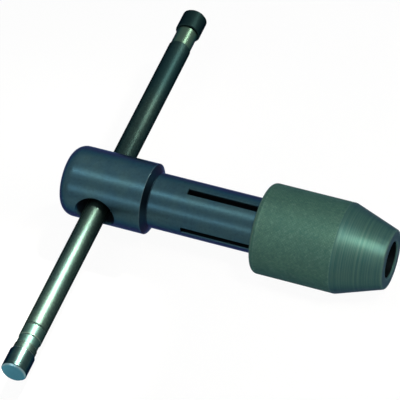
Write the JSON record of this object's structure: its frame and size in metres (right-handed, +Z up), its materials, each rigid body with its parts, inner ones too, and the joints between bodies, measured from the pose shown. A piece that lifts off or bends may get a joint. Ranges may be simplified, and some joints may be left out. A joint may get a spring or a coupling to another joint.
{
  "type": "t-handle tap wrench",
  "caption": "T-handle tap wrench with a sliding cross bar, a slotted shank split into spring jaws and a coned chuck nut that closes them on a tap's square shank.",
  "frame": {"origin": "on the tool's axis at the front end of the jaws' grip bore, where a tap goes in", "axes": "+X along the tool's axis, from the head to the nose; +Y along the sliding bar; +Z up"},
  "size_m": [0.0867, 0.124, 0.0234],
  "materials": {
    "body_steel": "blued satin",
    "nut_steel": "matte fine knurl, turned nose",
    "bar_steel": "polished",
    "cap_steel": "turned",
    "ring_steel": "spring steel wire",
    "ball_steel": "ground and polished",
    "spring_steel": "drawn wire",
    "screw_steel": "black oxide"
  },
  "bodies": {
    "wrench_body": {"wrench_body": "body_steel", "detent_ball": "ball_steel", "detent_spring": "spring_steel", "detent_screw": "screw_steel"},
    "handle": {"handle_bar": "bar_steel", "handle_cap_far": "cap_steel", "handle_cap_near": "cap_steel"},
    "nut_carrier": {"nut_retaining_ring": "ring_steel"},
    "nut": {"chuck_nut": "nut_steel"}
  },
  "joints": [
    {"name": "handle_slide", "type": "slide", "parent": "wrench_body", "child": "handle", "axis": [0, 1, 0], "range_m": [-0.0504, 0.0504]},
    {"name": "nut_advance", "type": "slide", "parent": "wrench_body", "child": "nut_carrier", "axis": [1, 0, 0], "range_m": [0, 0.004]},
    {"name": "nut_turn", "type": "hinge", "parent": "nut_carrier", "child": "nut", "pos_m": [-0.0264, 0, 0], "axis": [1, 0, 0], "range_deg": [0, 1440]}
  ],
  "couplings": [
    {"joint": "nut_advance", "follows": "nut_turn", "m_per_rad": 0.00015915}
  ]
}
